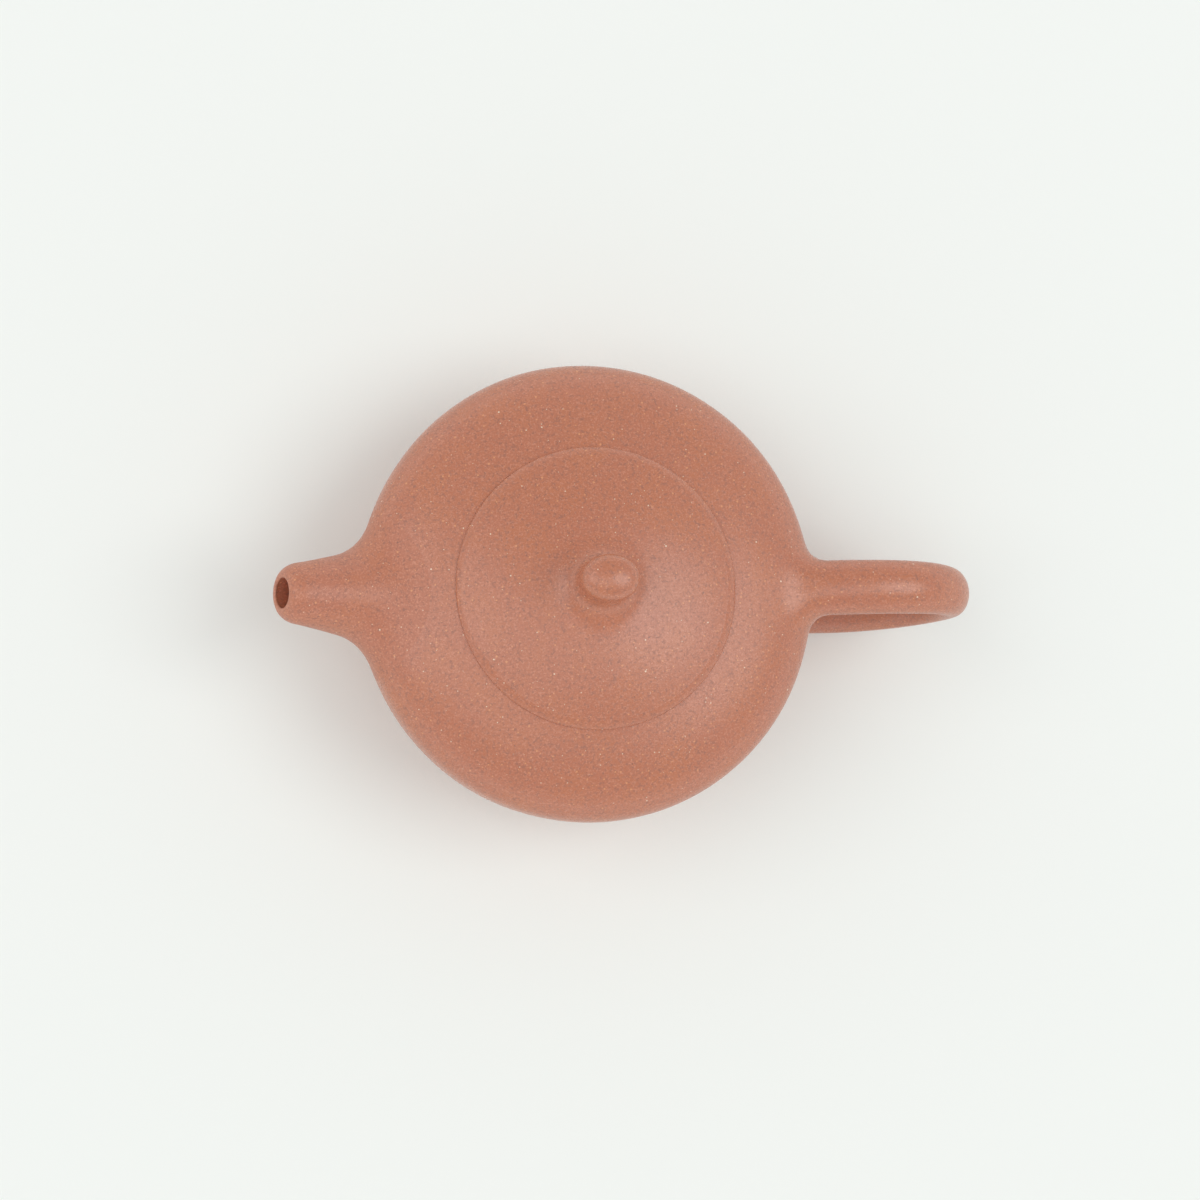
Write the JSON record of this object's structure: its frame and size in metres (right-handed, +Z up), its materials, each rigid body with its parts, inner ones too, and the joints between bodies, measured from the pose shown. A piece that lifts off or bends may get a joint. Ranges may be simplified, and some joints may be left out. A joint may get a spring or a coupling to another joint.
{
  "type": "clay teapot",
  "caption": "Squat round teapot of unglazed brown clay with a short spout, an ear handle and a flush domed lid that lifts off by its bead knob, for brewing and pouring tea.",
  "frame": {"origin": "on the table under the middle of the pot's length, half way between the spout's lip and the handle's back; the pot's own axis is at x = -8.75 mm", "axes": "+Z up along the pot's axis, +X from the pot towards the handle, so the spout points along -X; the object is mirrored in the XZ plane"},
  "size_m": [0.1405, 0.09, 0.0631],
  "materials": {
    "clay": "unglazed, matte, fine sandy grain",
    "clay_inside": "unglazed, matte, as left by the tools"
  },
  "bodies": {
    "pot": {"foot_ring": "clay", "base_disc": "clay", "body_wall": "clay", "shoulder_ring": "clay", "spout": "clay", "strainer": "clay_inside", "handle": "clay"},
    "lid": {"lid_plate": "clay_inside", "lid_dome": "clay", "lid_flange": "clay_inside", "knob": "clay"}
  },
  "joints": [
    {"name": "lid_lift", "type": "slide", "parent": "pot", "child": "lid", "axis": [0, 0, 1], "range_m": [0, 0.06]}
  ]
}
